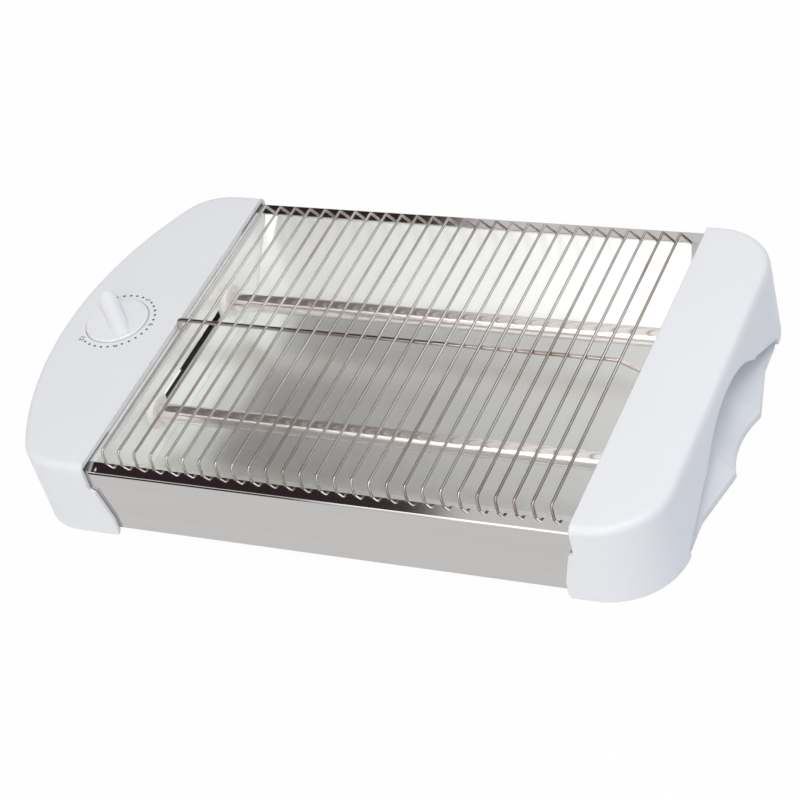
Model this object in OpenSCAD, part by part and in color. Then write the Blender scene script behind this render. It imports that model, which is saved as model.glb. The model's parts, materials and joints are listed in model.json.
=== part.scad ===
// Flat toaster: two heated quartz tubes under an open grid of bread wires,
// between a timer cap on the left and a cap with a hand grip on the right.
// Millimetres, +Z up, front towards -Y, origin under the middle on the ground.

/* [Bread grid] */
// Number of bread wires
wire_count = 27; // [17:1:33]
// Spacing of the bread wires
wire_pitch = 9.5; // [8:0.1:11]
// Diameter of the bread wires
wire_d = 1.5; // [1.2:0.1:2]
// Height of the wire centres above the ledges
wire_rise = 8.5; // [6.5:0.5:13]
// Inside bend radius of the wire centres
wire_bend = 2.2; // [1.6:0.1:3]
// Sideways lean of the rear legs
rear_lean = 2.7; // [0:0.1:4]
// Backward lean of the rear legs
rear_set = 4; // [0.5:0.1:6]
// Distance from a cap's inner edge to the nearest bread wire
end_margin = 10.2; // [8:0.1:14]

/* [Body] */
// Depth over the two caps, front to back
body_depth = 226.8; // [200:1:260]
// Height of the caps without the feet
cap_height = 47.5; // [44:0.5:60]
// Width of the timer cap at its middle
left_cap_w = 68.4; // [64:0.2:80]
// Width of the grip cap without its lip
right_cap_w = 41.8; // [40:0.2:50]
// Wall thickness of the plastic caps
wall_t = 2; // [1.6:0.1:2.4]
// Thickness of the cap tops
top_t = 2.6; // [2:0.1:3]
// Rounding of the caps' top edge
edge_soft = 4.2; // [3:0.1:6]
// Corner radius of the timer cap
left_corner_r = 30.4; // [24:0.2:34]
// Corner radius of the grip cap
right_corner_r = 35.5; // [28:0.2:37]
// How far the cap walls reach over the panel ends near the ground
tab_reach = 7.8; // [5:0.1:9]

/* [Sheet metal] */
// Drop from the cap tops to the ledges
ledge_drop = 3.8; // [3.4:0.1:6]
// Depth of the front ledge
front_ledge = 6.8; // [5:0.1:10]
// Depth of the rear ledge
rear_ledge = 8.5; // [6:0.1:12]
// Outside radius of the fold between a panel's face and its ledge
fold_r = 1.5; // [1:0.1:2]
// Thickness of the panels and end plates
sheet_t = 0.6; // [0.5:0.1:0.8]
// Thickness of the reflector
mirror_t = 0.5; // [0.4:0.1:0.6]
// Height of the panels' lower edge above the cap bottoms
panel_z = 3.8; // [3.8:0.1:6]
// Setback of the left end plate from the timer cap's inner edge
left_set = 5.7; // [4.6:0.1:7]
// Setback of the right end plate from the grip cap's inner edge
right_set = 1.5; // [1.2:0.1:7]
// Length of the air slot in the end plates
slot_len = 68.6; // [40:0.2:70]
// Height of the air slot in the end plates
slot_h = 5; // [3:0.1:6]

/* [Heating tubes] */
// Distance between the two tube axes
tube_gap = 92; // [74:1:110]
// How far the tubes lie towards the front of the middle
tube_fwd = 2.4; // [0:0.1:6]
// Height of the tube axes above the cap bottoms
tube_z = 28; // [24:0.5:32]
// Outer diameter of the quartz tubes
tube_d = 10; // [8:0.1:12]
// Wall of the quartz tubes
tube_wall = 1; // [0.8:0.1:1.2]
// Outer diameter of the ceramic holders' discs
holder_d = 18.2; // [16:0.1:20]

/* [Timer and knob] */
// Distance from the timer cap's inner edge to the dial centre
dial_set = 36.6; // [35:0.2:38]
// How far the dial centre lies towards the front of the middle
dial_fwd = 2; // [0:0.1:6]
// Diameter of the knob's base disc
knob_d = 35.6; // [30:0.2:37]
// Width of the knob's finger fin
fin_w = 9.8; // [8:0.1:12]
// Height of the fin's high end above the cap top
fin_h = 10.5; // [8:0.1:14]
// Angle the fin points to at zero, seen from above
zero_angle = 132; // [120:1:140]
// Diameter of the timer shaft
shaft_d = 6; // [5:0.1:7]

/* [Hand grip] */
// How far the lip stands out past the cap's side wall
lip_out = 6.2; // [4:0.1:9]
// Height of the lip's outer rim
lip_h = 3.6; // [3:0.1:6]
// Height of the arch above the cap bottom
arch_top = 37; // [34:0.5:38]
// Half width of the arch at the ground
arch_half = 77; // [70:0.5:77]
// Distance of the two finger lobes from the middle
lobe_y = 22; // [16:0.5:28]

/* [Feet and screws] */
// How far the rubber feet stand below the caps
foot_out = 1.2; // [0.8:0.1:3]
// Diameter of the rubber feet
foot_d = 14; // [10:0.2:16]
// Thread diameter of the case screws
screw_d = 3; // [2.6:0.1:3.4]

/* [Hidden] */
$fn = 96;
slip = 0.2;             // gap between pieces that are slid together
fit = 0.05;             // radial clearance of pins and shafts in their bores
seat = 0.1;             // gap left between sheets that lie side by side
past = 1;               // how far a cutter runs past what it cuts
edge_bands = 6;         // bands that round the caps' top edge
knee = 1.02;            // swelling of a wire where it is bent sharply

tray_len = (wire_count - 1) * wire_pitch + 2 * end_margin;
full_len = left_cap_w + tray_len + right_cap_w + lip_out;
x_left = -full_len / 2;
xl = x_left + left_cap_w;          // inner edge of the timer cap
xr = xl + tray_len;                // inner edge of the grip cap
xo = xr + right_cap_w;             // side wall of the grip cap
half = body_depth / 2;
z_top = cap_height;
z_ledge = z_top - ledge_drop;
z_wire = z_ledge + wire_rise;
y_panel = half - wall_t - slip;    // outer face of the front and rear panels
y_front = -y_panel + front_ledge;  // front wire legs
y_rear = y_panel - rear_ledge;     // rear wire feet
y_apex = y_rear - rear_set;        // where the wires reach the rear bends
leg_run = norm([rear_lean, rear_set]) / wire_rise;  // sideways run of a rear leg per unit of height
tube_y = -tube_fwd;                // middle between the two tubes
wire_x0 = xl + end_margin;
wire_r = wire_d / 2;

tuck = 6;                          // panel ends hidden behind the cap walls
plate_z = panel_z + sheet_t;       // bottom plate lies on the panels' flanges
pan_z = plate_z + sheet_t;         // end plates stand on the bottom plate
floor_z = pan_z + sheet_t + 0.7 + mirror_t;
flange_in = 0.6;                   // reflector flange past the middle of the wire holes
pl_in = xl + left_set;             // trough face of the left end plate
pr_in = xr - right_set;            // trough face of the right end plate
slot_sink = 2;                     // lower edge of the air slot under the tube axes
pan_y = y_panel - sheet_t - seat;  // side flanges of the end plates
panel_foot = 9;                    // width of the panels' lower flange

dial_x = xl - dial_set;
dial_y = -dial_fwd;
dial_sink = 1.5;
dial_r = knob_d / 2 + 0.4;
dial_pad_z = z_top - dial_sink - 3.4;
timer_screw_y = 12.5;
shaft_out = 0.4 * fin_h;           // shaft end above the cap top

base_z = 0.3;
base_t = 1.8;
base_top = base_z + base_t;
base_edge = 0.6;                   // chamfer round the base covers
collar_h = 3;
boss_d = 8;
head_d = 2 * screw_d;
head_h = 1.6;
pilot_d = screw_d - 0.2;

neck_d = tube_d + 3.2;             // ceramic necks through the end plates
neck_len = 7.5;
pin_out = 4.5;                     // heater pins past the necks
socket_deep = 5.8;
disc_t = 3;
pin_d = 2.2;
drum_h = 20;                       // clockwork timer
strip_t = 2;
term_x = xl - 30;                  // terminal block
term_y = 44;
gland_z = 13;                      // height of the cord gland

// left cap: corner circles touch the bowed wall and the straight sides
// The bow meets the round corner along a slope of 8 to 15, whose length is 17
bow_step = round((half - left_corner_r) * 12.5) / 100;
left_cy = 8 * bow_step;
left_r = half - left_cy;
bow_r = 17 * bow_step + left_r;
bow_x = x_left + bow_r;
bow_a = atan(8 / 15);
left_cx = bow_x - 15 * bow_step;
right_cx = xo - right_corner_r;
right_cy = half - right_corner_r;

// the cord gland sits in the flat of the rear wall, between the corner and the panel's end
gland_x = (left_cx + xl - tuck) / 2;
gland_lip = 1;
gland_d = xl - tuck - left_cx - 2 * (gland_lip + slip);
gland_bore = gland_d / 2 - 1.1;

left_screws = [[xl - 24, half - 20], [x_left + 16, 46]];
right_screws = [[xr + 12.4, half - 25], [xr + 12.2, 21]];
left_feet = [xl - 28, half - 38];
right_feet = [xo - 20, half - 23];
cap_screw_y = 60;
cap_boss_d = 6.4;
cap_screw_set = 4;                 // cap screws from the caps' inner edges
frame_screw_set = 2.5;             // frame screws from the caps' inner edges

// Lifts a piece so that the feet stand on the ground
module on_feet() {
    translate([0, 0, foot_out]) children();
}

// Brings a piece under the dial centre
module at_dial() {
    translate([dial_x, dial_y, 0]) children();
}

// Repeats a piece at the front and at the back
module both_sides() {
    for (m = [0, 1]) mirror([0, m, 0]) children();
}

// Section from an axis out to a wall, its upper edge rounded in short even bands
module soft_section(reach, top, soft, bands) {
    polygon(concat([[0, 0], [reach, 0]],
        [for (k = [0 : bands]) let (a = 90 * k / bands)
            [reach - soft + soft * cos(a), top - soft + soft * sin(a)]],
        [[0, top]]));
}

// Outer form of the timer cap, drawn in from its walls by inset
module left_form(inset, top, soft, bands, inner_x) {
    lap = 2;               // the pieces of the form lap over each other
    far = 3;               // the cuts reach this many slopes past the round corner
    fill = 20;
    core = 12;             // a block inside the corner that ties the pieces together
    intersection() {
        translate([bow_x, 0, 0]) rotate_extrude($fn = 360) soft_section(bow_r - inset, top, soft, bands);
        translate([bow_x, 0, -past]) linear_extrude(top + 2 * past)
            polygon([[0, 0], [-17 * 15, 17 * 8], [-17 * 15, -17 * 8]]);
        translate([x_left - past, -half, -past]) cube([inner_x - x_left + past, body_depth, top + 2 * past]);
    }
    both_sides() translate([left_cx, left_cy, 0]) {
        intersection() {
            rotate_extrude() soft_section(left_r - inset, top, soft, bands);
            translate([0, 0, -past]) linear_extrude(top + 2 * past)
                polygon([[0, 0], [0, 2 * left_r], [-15 * far, 2 * left_r], [-15 * far, 8 * far]]);
        }
        translate([0, -fill, 0]) cube([inner_x - left_cx, fill + lap, top]);
        translate([-core, -fill, 0]) cube([inner_x - left_cx + core, fill + core, top - 1]);
        rotate([90, 0, 90]) linear_extrude(inner_x - left_cx) soft_section(left_r - inset, top, soft, bands);
    }
}

// Outer form of the grip cap, drawn in from its walls by inset
module right_form(inset, top, soft, bands, inner_x) {
    translate([inner_x, -right_cy, 0]) cube([right_cx - inner_x, 2 * right_cy, top]);
    translate([right_cx, right_cy, 0]) rotate([90, 0, 0]) linear_extrude(2 * right_cy)
        soft_section(right_corner_r - inset, top, soft, bands);
    both_sides() {
        translate([right_cx, right_cy, 0]) rotate_extrude(angle = 90)
            soft_section(right_corner_r - inset, top, soft, bands);
        translate([inner_x, right_cy, 0]) rotate([90, 0, 90]) linear_extrude(right_cx - inner_x)
            soft_section(right_corner_r - inset, top, soft, bands);
    }
}

// Points along a round corner
function corner_points(cx, cy, r, a0, a1, n) =
    [for (k = [0 : n]) let (a = a0 + (a1 - a0) * k / n) [cx + r * cos(a), cy + r * sin(a)]];

// The same points in turned order at the front
function at_front(points) = [for (k = [len(points) - 1 : -1 : 0]) [points[k].x, -points[k].y]];

// Inside of the timer cap, open towards the trough and the ground
module left_hollow() {
    r = left_r - wall_t;
    meet_a = 180 - bow_a;
    rear = concat([[xl + past, half - wall_t]], corner_points(left_cx, left_cy, r, 90, meet_a - 6, 8),
        [[left_cx + 1.3 * r * cos(meet_a), left_cy + 1.3 * r * sin(meet_a)]]);
    translate([0, 0, -past]) linear_extrude(z_top - top_t + past) intersection() {
        translate([bow_x, 0]) circle(bow_r - wall_t, $fn = 360);
        polygon(concat(rear, [[x_left - 10, left_cy], [x_left - 10, -left_cy]], at_front(rear)));
    }
}

// Inside of the grip cap, open towards the trough and the ground
module right_hollow() {
    rear = concat([[xr - past, half - wall_t]],
        corner_points(right_cx, right_cy, right_corner_r - wall_t, 90, 0, 10));
    translate([0, 0, -past]) linear_extrude(z_top - top_t + past) polygon(concat(rear, at_front(rear)));
}

// Edge of a cap wall that covers the panel end, wider towards the ground
module wall_tab() {
    both_sides() translate([0, half, 0]) rotate([90, 0, 0]) linear_extrude(wall_t)
        polygon([[-past, 0], [tab_reach - 1.1, 0], [tab_reach, 3], [tab_reach - 0.2, 11],
            [0.37 * tab_reach, 0.62 * z_top], [0, 0.66 * z_top], [-past, 0.66 * z_top]]);
}

// Screw post that hangs from a cap top, with a blind pilot hole
module cap_post(foot_z, d) {
    difference() {
        translate([0, 0, foot_z]) cylinder(h = z_top - top_t / 2 - foot_z, d = d);
        translate([0, 0, foot_z - past]) cylinder(h = 14 + past, d = pilot_d);
    }
}

// Stiffening rib under a cap top
module top_rib(len) {
    translate([-len / 2, -0.6, z_top - top_t - 3]) cube([len, 1.2, 3 + top_t / 2]);
}

module left_cap() color([0.91, 0.91, 0.92]) on_feet() difference() {
    union() {
        difference() {
            left_form(0, z_top, edge_soft, edge_bands, xl);
            left_hollow();
        }
        translate([xl, 0, 0]) wall_tab();
        // turned-down inner edge over the end plate's flange
        translate([xl - 1.6, -left_cy, z_ledge + 0.5]) cube([1.6, 2 * left_cy, ledge_drop - 1]);
        at_dial() translate([0, 0, dial_pad_z])
            cylinder(h = z_top - top_t / 2 - dial_pad_z, r = dial_r + 1.6);
        both_sides() for (p = left_screws) translate([p.x, p.y, 0])
            cap_post(base_top + collar_h + slip, boss_d);
        both_sides() translate([xl - cap_screw_set, cap_screw_y, 0])
            cap_post(pan_z + sheet_t + seat, cap_boss_d);
        both_sides() for (y = [34, 72]) translate([xl - 26, y, 0]) top_rib(36);
    }
    at_dial() {
        translate([0, 0, z_top - dial_sink]) cylinder(h = dial_sink + past, r = dial_r);
        cylinder(h = z_top + past, d = shaft_d + 4);
        both_sides() translate([0, timer_screw_y, 0]) {
            cylinder(h = z_top + past, d = screw_d + 2 * slip);
            translate([0, 0, z_top - dial_sink - head_h - slip]) cylinder(h = z_top, d = head_d + 2 * slip);
        }
    }
    translate([gland_x, half - wall_t - past, gland_z]) rotate([-90, 0, 0])
        cylinder(h = wall_t + 2 * past, d = gland_d);
}

// Grip: outline of the opening, let out by grow
module arch_outline(grow) {
    arch_r = 60;
    shoulder = 45;
    difference() {
        union() {
            translate([0, arch_top - arch_r]) circle(arch_r + grow);
            polygon([[-arch_half - grow, 0], [-arch_half - grow, 4 + grow], [-shoulder - grow, 20 + grow],
                [shoulder + grow, 20 + grow], [arch_half + grow, 4 + grow], [arch_half + grow, 0]]);
        }
        translate([-2 * arch_half, -2 * arch_r]) square([4 * arch_half, 2 * arch_r]);
    }
}

// Grip: everything above the ramp, a middle finger dish between two slanted sides
module above_ramp() {
    dish_r = 77;
    dish_sink = 3.2;
    side_a = 12;
    translate([xo + lip_out, 0, lip_h]) {
        rotate([0, 45, 0]) translate([-100, 0, dish_r - dish_sink]) rotate([0, 90, 0])
            cylinder(h = 200, r = dish_r, $fn = 180);
        both_sides() translate([0, lobe_y, 0]) rotate(side_a) rotate([0, 45, 0])
            translate([-100, -60, 0]) cube([200, 200, 60]);
    }
}

// Grip: plan of the lip, with two lobes and a waist
module lip_plan() {
    waist_r = 53;
    waist_in = 4.4;
    tip_r = 6;
    rear = concat([[xo - 12, arch_half - 6], [xo - 4.3, arch_half - 6]],
        corner_points(xo + lip_out - tip_r, lobe_y, tip_r, 12, -36, 8));
    difference() {
        polygon(concat(rear, at_front(rear)));
        translate([xo + lip_out - waist_in + waist_r, 0]) circle(waist_r, $fn = 180);
    }
}

// Grip: thin ramp, arch ceiling and lip, hollow below
module grip_shell() {
    ramp_t = 3.4;
    grip_x = xo - 38;
    difference() {
        intersection() {
            union() {
                translate([grip_x, 0, 0]) rotate([90, 0, 90]) linear_extrude(37)
                    arch_outline(wall_t);
                linear_extrude(14) lip_plan();
            }
            translate([0, 0, -ramp_t]) above_ramp();
        }
        intersection() {
            translate([grip_x - past, 0, 0]) rotate([90, 0, 90]) linear_extrude(60) arch_outline(0);
            above_ramp();
        }
        intersection() {
            translate([xo - past / 2, -half, 0]) cube([30, body_depth, z_top]);
            above_ramp();
        }
    }
}

module right_cap() color([0.91, 0.91, 0.92]) on_feet() {
    difference() {
        union() {
            difference() {
                right_form(0, z_top, edge_soft, edge_bands, xr);
                right_hollow();
            }
            mirror([1, 0, 0]) translate([-xr, 0, 0]) wall_tab();
            translate([xr, -right_cy, z_ledge + 0.5]) cube([1.6, 2 * right_cy, ledge_drop - 1]);
            both_sides() for (p = right_screws) translate([p.x, p.y, 0])
                cap_post(base_top + collar_h + slip, boss_d);
            both_sides() translate([xr + cap_screw_set, cap_screw_y, 0])
                cap_post(pan_z + sheet_t + seat, cap_boss_d);
        }
        translate([xo - wall_t - 0.4, 0, -past]) rotate([90, 0, 90]) linear_extrude(wall_t + 1)
            union() {
                translate([0, past]) arch_outline(0);
                translate([-arch_half, 0]) square([2 * arch_half, 2 * past]);
            }
    }
    grip_shell();
}

// Vent slots in rows, centred on the spot
module vent_rows(cols, rows, len, wide, step_x, step_y) {
    for (i = [0 : cols - 1], j = [0 : rows - 1])
        translate([(i - (cols - 1) / 2) * step_x - wide / 2, (j - (rows - 1) / 2) * step_y - len / 2, -past])
            cube([wide, len, base_t + 4 * past]);
}

// Collar with a recess for a screw head, under a screw post
module base_collar() {
    cylinder(h = base_top + collar_h - base_z, d = boss_d + 2);
}

module base_hole() {
    translate([0, 0, -past]) cylinder(h = base_top + 10, d = screw_d + 2 * slip);
    translate([0, 0, -past]) cylinder(h = past + base_z + collar_h, d = head_d + 2 * slip);
}

module foot_hole() {
    translate([0, 0, -past]) cylinder(h = base_top + 2 * past, d = 5 + 2 * fit);
}

module left_base() color([0.80, 0.80, 0.81]) on_feet() difference() {
    union() {
        translate([0, 0, base_z]) left_form(wall_t + slip, base_t, base_edge, 1, xl + 4);
        both_sides() for (p = left_screws) translate([p.x, p.y, base_z]) base_collar();
    }
    both_sides() for (p = left_screws) translate([p.x, p.y, 0]) base_hole();
    both_sides() translate([left_feet.x, left_feet.y, 0]) foot_hole();
    at_dial() vent_rows(6, 1, 30, 3, 7, 1);
    both_sides() translate([xl - cap_screw_set, cap_screw_y, -past])
        cylinder(h = base_top + 2 * past, d = head_d + 2);
}

module right_base() color([0.80, 0.80, 0.81]) on_feet() difference() {
    union() {
        translate([0, 0, base_z]) right_form(wall_t + slip, base_t, base_edge, 1, xr - 4);
        both_sides() for (p = right_screws) translate([p.x, p.y, base_z]) base_collar();
    }
    translate([xo - 16, -arch_half - 3, -past]) cube([30, 2 * arch_half + 6, base_top + 2 * past]);
    both_sides() for (p = right_screws) translate([p.x, p.y, 0]) base_hole();
    both_sides() translate([right_feet.x, right_feet.y, 0]) foot_hole();
    both_sides() translate([xr + 14, 48, 0]) vent_rows(3, 1, 26, 3, 7, 1);
    both_sides() translate([xr + cap_screw_set, cap_screw_y, -past])
        cylinder(h = base_top + 2 * past, d = head_d + 2);
}

// Folded panel: lower flange, upright face, round fold and ledge, seen along the length
module panel_section(ledge) {
    fold = z_ledge - fold_r;
    polygon(concat([[0, panel_z]], corner_points(-fold_r, fold, fold_r, 0, 90, 6),
        [[-ledge, z_ledge], [-ledge, z_ledge - sheet_t]],
        corner_points(-fold_r, fold, fold_r - sheet_t, 90, 0, 6),
        [[-sheet_t, panel_z + sheet_t], [-panel_foot, panel_z + sheet_t], [-panel_foot, panel_z]]));
}

// Panel for the rear side; the front one is its mirror with its own ledge
module side_panel(ledge, foot_shift, hole_d) {
    difference() {
        translate([xl - tuck, y_panel, 0]) rotate([90, 0, 90]) linear_extrude(tray_len + 2 * tuck)
            panel_section(ledge);
        for (i = [0 : wire_count - 1])
            translate([wire_x0 + i * wire_pitch + foot_shift, y_panel - ledge, z_ledge - 2 * sheet_t])
                cylinder(h = 4 * sheet_t, d = hole_d, $fn = 24);
        for (x = [xl - frame_screw_set, xr + frame_screw_set])
            translate([x, y_panel - panel_foot / 2, panel_z - past])
                cylinder(h = 3 * past, d = screw_d + 2 * slip);
    }
}

module front_panel() color([0.74, 0.73, 0.71]) on_feet() mirror([0, 1, 0])
    side_panel(front_ledge, 0, wire_d + 2 * slip);

module rear_panel() color([0.74, 0.73, 0.71]) on_feet()
    side_panel(rear_ledge, rear_lean, wire_d + 2 * slip + 2 * sheet_t * leg_run);

module bottom_plate() color([0.66, 0.66, 0.66]) on_feet() difference() {
    plate_y = y_panel - sheet_t - seat;
    translate([xl - tuck, -plate_y, plate_z]) cube([tray_len + 2 * tuck, 2 * plate_y, sheet_t]);
    for (x = [xl - frame_screw_set, xr + frame_screw_set]) both_sides()
        translate([x, y_panel - panel_foot / 2, plate_z - past])
            cylinder(h = 3 * past, d = screw_d + 2 * slip);
    for (x = [xl - cap_screw_set, xr + cap_screw_set]) both_sides()
        translate([x, cap_screw_y, plate_z - past]) cylinder(h = 3 * past, d = head_d + 1);
    translate([(xl + xr) / 2, 0, plate_z]) for (k = [-1, 1]) translate([0, k * 82, 0])
        vent_rows(7, 1, 24, 4, tray_len / 9, 1);
}

// Reflector: floor, two slopes and flanges under the ledges
module reflector_section() {
    zf = z_ledge - sheet_t;
    ya = -(y_panel - fold_r - seat);
    yb = y_front + flange_in;
    yc = yb + zf - floor_z;
    ye = y_rear - flange_in;
    yd = ye - zf + floor_z;
    m = mirror_t * tan(22.5);
    polygon([[ya, zf], [yb, zf], [yc, floor_z], [yd, floor_z], [ye, zf], [-ya, zf], [-ya, zf - mirror_t],
        [ye + m, zf - mirror_t], [yd + m, floor_z - mirror_t], [yc - m, floor_z - mirror_t],
        [yb - m, zf - mirror_t], [ya, zf - mirror_t]]);
}

module reflector() color([0.72, 0.74, 0.73]) on_feet() difference() {
    translate([pl_in + seat, 0, 0]) rotate([90, 0, 90]) linear_extrude(pr_in - pl_in - 2 * seat)
        reflector_section();
    for (i = [0 : wire_count - 1]) translate([wire_x0 + i * wire_pitch, 0, z_ledge - 3]) {
        translate([0, y_front, 0]) cylinder(h = 4, d = wire_d + 2 * fit, $fn = 24);
        translate([rear_lean, y_rear, 0])
            cylinder(h = 4, d = wire_d + 2 * slip + 2 * (sheet_t + mirror_t) * leg_run, $fn = 24);
    }
}

// End plate: pressed pan with flanges turned away from the trough, drawn for the left
module end_plate(set) difference() {
    pan_deep = set + tuck;
    translate([-pan_deep, -pan_y, pan_z]) cube([pan_deep, 2 * pan_y, z_ledge - pan_z]);
    translate([-pan_deep - past, -pan_y + sheet_t, pan_z + sheet_t])
        cube([pan_deep + past - sheet_t, 2 * (pan_y - sheet_t), z_ledge - pan_z - 2 * sheet_t]);
    // short top flange
    translate([-2 * pan_deep, -half, z_ledge - 10]) cube([2 * pan_deep - set - 0.5, body_depth, 20]);
    // room for the ledges and the reflector flanges
    translate([-2 * pan_deep, -half, z_ledge - sheet_t - seat])
        cube([4 * pan_deep, half + y_front + slip, 10]);
    translate([-2 * pan_deep, y_rear - slip, z_ledge - sheet_t - seat]) cube([4 * pan_deep, half, 10]);
    translate([-pan_deep, tube_y - slot_len / 2, tube_z - slot_sink]) cube([2 * pan_deep, slot_len, slot_h]);
    for (s = [-1, 1]) translate([-pan_deep, tube_y + s * tube_gap / 2, tube_z]) rotate([0, 90, 0])
        cylinder(h = 2 * pan_deep, d = neck_d + 2 * seat);
    both_sides() {
        // room for the panels' round folds
        translate([-2 * pan_deep, y_panel - fold_r - seat, z_ledge - fold_r - seat])
            cube([4 * pan_deep, half, 10]);
        translate([-set - cap_screw_set, cap_screw_y, 0])
            cylinder(h = 2 * pan_z, d = screw_d + 2 * slip);
        translate([-set - frame_screw_set, y_panel - panel_foot / 2, 0])
            cylinder(h = 2 * pan_z, d = screw_d + 2 * fit);
    }
}

module left_end_plate() color([0.80, 0.80, 0.79]) on_feet() translate([pl_in, 0, 0]) end_plate(left_set);

module right_end_plate() color([0.80, 0.80, 0.79]) on_feet() translate([pr_in, 0, 0])
    mirror([1, 0, 0]) end_plate(right_set);

// One bread wire: front leg, straight run over the trough, leaning rear leg
module bread_wire() {
    tail = sheet_t + mirror_t + 1.2;   // end that reaches through the reflector's flange
    foot_z = z_ledge - tail;
    run_y0 = y_front + wire_bend;
    lean = [rear_lean, rear_set, -wire_rise];
    leg = norm(lean);
    translate([0, y_front, foot_z]) cylinder(h = z_wire - wire_bend - foot_z, d = wire_d, $fn = 24);
    translate([0, run_y0, z_wire - wire_bend]) rotate([90, 0, -90]) rotate_extrude(angle = 90)
        translate([wire_bend, 0]) circle(d = wire_d, $fn = 24);
    translate([0, run_y0, z_wire]) rotate([-90, 0, 0]) cylinder(h = y_apex - run_y0, d = wire_d, $fn = 24);
    translate([0, y_apex, z_wire]) {
        sphere(d = wire_d * knee, $fn = 24);
        rotate([0, acos(lean.z / leg), atan2(lean.y, lean.x)])
            cylinder(h = leg * (wire_rise + tail) / wire_rise, d = wire_d, $fn = 24);
    }
}

module grid_wires() color([0.78, 0.74, 0.70]) on_feet()
    for (i = [0 : wire_count - 1]) translate([wire_x0 + i * wire_pitch, 0, 0]) bread_wire();

// Long wire under the grid that ties the bread wires together
module cross_wire() color([0.78, 0.74, 0.70]) on_feet() {
    zc = z_wire - wire_d - fit;
    slope_x = wire_x0 + (wire_count - 1) * wire_pitch - 2;
    end_x = xr - 0.7;
    drop = zc - z_ledge - wire_r - fit;
    fall_a = atan2(drop, end_x - slope_x);
    foot_x = xl + 2;
    translate([foot_x, 0, z_ledge + fit])
        cylinder(h = zc - wire_bend - z_ledge - fit, d = wire_d, $fn = 24);
    translate([foot_x + wire_bend, 0, zc - wire_bend]) rotate([90, 0, 0]) rotate(90)
        rotate_extrude(angle = 90) translate([wire_bend, 0]) circle(d = wire_d, $fn = 24);
    translate([foot_x + wire_bend, 0, zc]) rotate([0, 90, 0])
        cylinder(h = slope_x - foot_x - wire_bend, d = wire_d, $fn = 24);
    translate([slope_x, 0, zc]) {
        sphere(d = wire_d * knee, $fn = 24);
        rotate([0, 90 + fall_a, 0])
            cylinder(h = norm([drop, end_x - slope_x]), d = wire_d, $fn = 24);
    }
}

// Pieces along a tube axis, drawn from the left end plate's trough face
module at_tube(side) {
    translate([pl_in, tube_y + side * tube_gap / 2, tube_z]) rotate([0, 90, 0]) children();
}

module quartz_tube() {
    len = pr_in - pl_in + 2 * (socket_deep - slip);
    translate([0, 0, -socket_deep + slip]) difference() {
        cylinder(h = len, d = tube_d);
        translate([0, 0, -past]) cylinder(h = len + 2 * past, d = tube_d - 2 * tube_wall);
    }
}

module front_tube() color([0.93, 0.92, 0.90]) on_feet() at_tube(-1) quartz_tube();

module rear_tube() color([0.93, 0.92, 0.90]) on_feet() at_tube(1) quartz_tube();

// Wound heater drawn as its sleeve, with a cap and a pin at each end
module heater() {
    len = pr_in - pl_in;
    tip = neck_len + pin_out;
    wound = 6;             // the winding starts this far into the trough
    coil_r = tube_d / 2 - tube_wall - 0.9;
    core_r = coil_r - 0.5;
    pin_r = pin_d / 2;
    root = socket_deep - 1;
    rotate_extrude() polygon([[0, -tip], [pin_r, -tip], [pin_r, -root], [core_r, -root], [core_r, wound],
        [coil_r, wound], [coil_r, len - wound], [core_r, len - wound], [core_r, len + root],
        [pin_r, len + root], [pin_r, len + tip], [0, len + tip]]);
}

module front_coil() color([0.45, 0.42, 0.40]) on_feet() at_tube(-1) heater();

module rear_coil() color([0.45, 0.42, 0.40]) on_feet() at_tube(1) heater();

// Ceramic holder: disc on the trough side, neck through the plate, socket for the tube
module holder() {
    rotate_extrude() polygon([[pin_d / 2 + fit, -neck_len], [neck_d / 2 - 0.8, -neck_len],
        [neck_d / 2, -neck_len + 0.8], [neck_d / 2, 0], [holder_d / 2, 0], [holder_d / 2, disc_t - 0.6],
        [holder_d / 2 - 0.6, disc_t], [tube_d / 2 + fit, disc_t], [tube_d / 2 + fit, -socket_deep],
        [pin_d / 2 + fit, -socket_deep]]);
}

module left_holders() color([0.93, 0.90, 0.84]) on_feet() for (s = [-1, 1]) at_tube(s) holder();

module right_holders() color([0.93, 0.90, 0.84]) on_feet() for (s = [-1, 1])
    at_tube(s) translate([0, 0, pr_in - pl_in]) mirror([0, 0, 1]) holder();

// Split spring rings that hold the necks behind the end plates
module neck_ring() {
    translate([0, 0, -sheet_t - 1.2]) difference() {
        cylinder(h = 1.2, d = neck_d + 4);
        translate([0, 0, -past]) cylinder(h = 1.2 + 2 * past, d = neck_d + 2 * fit);
        translate([0, -1.5, -past]) cube([neck_d, 3, 1.2 + 2 * past]);
    }
}

module holder_rings() color([0.60, 0.60, 0.61]) on_feet() for (s = [-1, 1]) {
    at_tube(s) neck_ring();
    at_tube(s) translate([0, 0, pr_in - pl_in]) mirror([0, 0, 1]) neck_ring();
}

// Strip that joins the two heaters at the grip end
module jumper_bar() color([0.70, 0.70, 0.71]) on_feet()
    translate([pr_in + neck_len + 0.6, tube_y, tube_z]) rotate([90, 0, 90]) linear_extrude(1.2) difference() {
        union() {
            square([tube_gap, 7], center = true);
            for (s = [-1, 1]) translate([s * tube_gap / 2, 0]) circle(d = 9);
        }
        for (s = [-1, 1]) translate([s * tube_gap / 2, 0]) circle(d = pin_d + 2 * fit);
    }

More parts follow.
